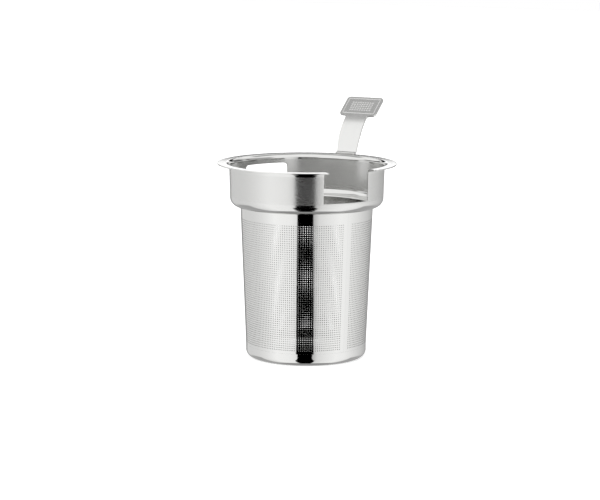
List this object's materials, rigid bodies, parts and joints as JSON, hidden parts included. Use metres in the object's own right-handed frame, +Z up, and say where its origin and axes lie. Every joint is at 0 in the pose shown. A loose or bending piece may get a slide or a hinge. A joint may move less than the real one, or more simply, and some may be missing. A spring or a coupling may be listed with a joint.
{
  "type": "teapot filter basket",
  "caption": "Stainless steel tea strainer basket: flanged collar with a pouring notch and a side window, tapered perforated sleeve, flat base and a curved strap handle with a thumb tab.",
  "frame": {"origin": "centre of the flat underside of the base", "axes": "+Z up along the basket's axis, +Y towards the handle; the pouring notch faces 30.6 degrees below +X and the window 152.6 degrees above it"},
  "size_m": [0.08, 0.0995, 0.1119],
  "materials": {
    "satin_steel": "satin, spun on a lathe",
    "bright_steel": "mirror-polished",
    "matt_steel": "tumbled, softly matt"
  },
  "bodies": {
    "root": {"collar": "satin_steel", "perforated_sleeve": "bright_steel", "base_cup": "bright_steel", "handle_strap": "matt_steel"}
  },
  "joints": []
}
